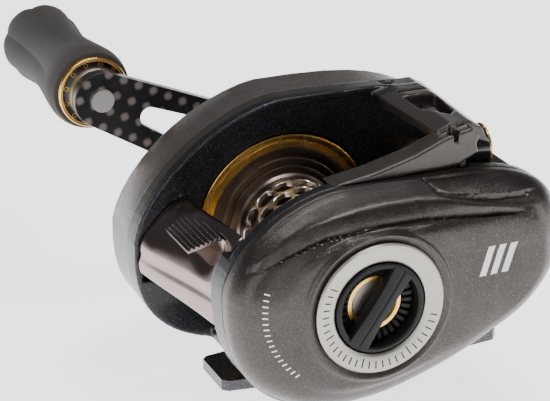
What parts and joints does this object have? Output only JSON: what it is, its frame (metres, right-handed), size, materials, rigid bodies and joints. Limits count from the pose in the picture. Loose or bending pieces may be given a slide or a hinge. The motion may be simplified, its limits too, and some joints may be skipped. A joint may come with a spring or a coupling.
{
  "type": "baitcasting reel",
  "caption": "Low-profile baitcasting reel with a left-hand double-knob handle, star drag, perforated spool, level wind, magnetic brake dial and thumb-bar clutch.",
  "frame": {"origin": "middle of the foot's seating face, under the spool axis", "axes": "+X up the rod towards its tip, +Y along the spool axis towards the handle, +Z away from the rod"},
  "size_m": [0.097, 0.1297, 0.0618],
  "materials": {
    "black_flake": "gloss black with fine metal flake",
    "foot_black": "satin black with coarse flake",
    "graphite": "satin graphite with fine metal flake",
    "taupe": "satin taupe metallic",
    "cover_grey": "satin warm grey metallic",
    "silver_satin": "satin anodised, engraved ticks",
    "knob_black": "satin black",
    "gold": "polished gold anodised",
    "bronze": "satin champagne bronze anodised",
    "steel": "ground and polished",
    "screw_black": "blackened",
    "brass": "machined",
    "rose_chrome": "smoked rose chrome, mirror-like",
    "pad_rose": "satin, ridged",
    "nylon": "moulded",
    "carbon": "clear-coated carbon weave",
    "carbon_felt": "woven carbon",
    "star_black": "satin black",
    "cap_dark": "dark anodised, fluted rim",
    "eva": "closed-cell foam, matte",
    "guide_black": "moulded gloss",
    "magnet_nickel": "nickel plated",
    "carrier_black": "moulded",
    "shim_bronze": "machined"
  },
  "bodies": {
    "frame": {"frame": "black_flake", "foot": "foot_black", "foot_screws": "steel", "hood": "taupe", "hood_screws": "screw_black", "gear_cover": "cover_grey", "cover_screws": "steel", "far_bearing": "steel", "pinion_bearing": "steel", "shaft_bearing": "steel", "one_way_bearing": "steel", "yoke_posts": "steel", "yoke_springs": "steel", "worm_bushings": "carrier_black", "guide_rod": "steel", "tension_shim": "shim_bronze"},
    "palm_plate": {"palm_plate": "graphite", "graduated_ring": "silver_satin", "palm_bearing": "steel"},
    "brake_knob": {"brake_knob": "knob_black", "click_ring": "knob_black", "centre_ring": "gold", "centre_disc": "silver_satin"},
    "magnet_carrier": {"magnet_carrier": "carrier_black", "magnets": "magnet_nickel"},
    "thumb_bar": {"thumb_bar": "rose_chrome", "thumb_pad": "pad_rose", "clutch_cam": "steel"},
    "clutch_yoke": {"clutch_yoke": "nylon"},
    "pinion": {"pinion": "brass"},
    "spool": {"spool": "bronze", "spool_rims": "gold", "spool_shaft": "steel", "clutch_pin": "steel"},
    "handle": {"drive_shaft": "steel", "wind_drive_gear": "nylon", "ratchet": "steel", "main_gear": "brass", "drag_washer": "carbon_felt", "pressure_plate": "steel", "shaft_sleeve": "steel", "spring_washers": "steel", "handle_arm": "carbon", "handle_nut": "steel", "nut_retainer": "screw_black", "knob_pins": "steel"},
    "star_drag": {"star_drag": "star_black"},
    "knob_a": {"grip_a": "eva", "grip_collar_a": "gold"},
    "knob_b": {"grip_b": "eva", "grip_collar_b": "gold"},
    "tension_knob": {"tension_knob": "cap_dark"},
    "worm": {"worm_shaft": "brass", "worm_gear": "nylon"},
    "line_guide": {"line_guide": "guide_black", "guide_ring": "gold", "pawl": "steel", "pawl_cap": "steel"}
  },
  "joints": [
    {"name": "palm_plate_slide", "type": "slide", "parent": "frame", "child": "palm_plate", "axis": [0, -1, 0], "range_m": [0, 0.025]},
    {"name": "brake_turn", "type": "hinge", "parent": "palm_plate", "child": "brake_knob", "pos_m": [0, 0, 0.024], "axis": [0, 1, 0], "range_deg": [0, 270]},
    {"name": "magnet_advance", "type": "slide", "parent": "palm_plate", "child": "magnet_carrier", "axis": [0, 1, 0], "range_m": [0, 0.002]},
    {"name": "thumb_bar_press", "type": "slide", "parent": "frame", "child": "thumb_bar", "axis": [0, 0, -1], "range_m": [0, 0.004]},
    {"name": "yoke_lift", "type": "slide", "parent": "frame", "child": "clutch_yoke", "axis": [0, 1, 0], "range_m": [0, 0.0016], "deforming": ["yoke_springs"]},
    {"name": "pinion_spin", "type": "hinge", "parent": "clutch_yoke", "child": "pinion", "pos_m": [0, 0, 0.024], "axis": [0, 1, 0], "continuous": true},
    {"name": "spool_spin", "type": "hinge", "parent": "frame", "child": "spool", "pos_m": [0, 0, 0.024], "axis": [0, 1, 0], "continuous": true},
    {"name": "handle_spin", "type": "hinge", "parent": "frame", "child": "handle", "pos_m": [0.01682, 0, 0.01918], "axis": [0, 1, 0], "continuous": true},
    {"name": "star_turn", "type": "hinge", "parent": "handle", "child": "star_drag", "pos_m": [0.01682, 0, 0.01918], "axis": [0, 1, 0], "range_deg": [-360, 360]},
    {"name": "knob_a_spin", "type": "hinge", "parent": "handle", "child": "knob_a", "pos_m": [-0.023, 0, 0.03903], "axis": [0, 1, 0], "continuous": true},
    {"name": "knob_b_spin", "type": "hinge", "parent": "handle", "child": "knob_b", "pos_m": [0.05665, 0, -0.00068], "axis": [0, 1, 0], "continuous": true},
    {"name": "tension_turn", "type": "hinge", "parent": "frame", "child": "tension_knob", "pos_m": [0, 0, 0.024], "axis": [0, 1, 0], "range_deg": [-360, 360]},
    {"name": "worm_spin", "type": "hinge", "parent": "frame", "child": "worm", "pos_m": [0.02803, 0, 0.03352], "axis": [0, 1, 0], "continuous": true},
    {"name": "line_guide_slide", "type": "slide", "parent": "frame", "child": "line_guide", "axis": [0, 1, 0], "range_m": [-0.0015, 0.0145]}
  ],
  "couplings": [
    {"joint": "yoke_lift", "follows": "thumb_bar_press", "ratio": 0.4},
    {"joint": "pinion_spin", "follows": "handle_spin", "ratio": -6},
    {"joint": "spool_spin", "follows": "handle_spin", "ratio": -6},
    {"joint": "worm_spin", "follows": "handle_spin", "ratio": -1.6}
  ]
}
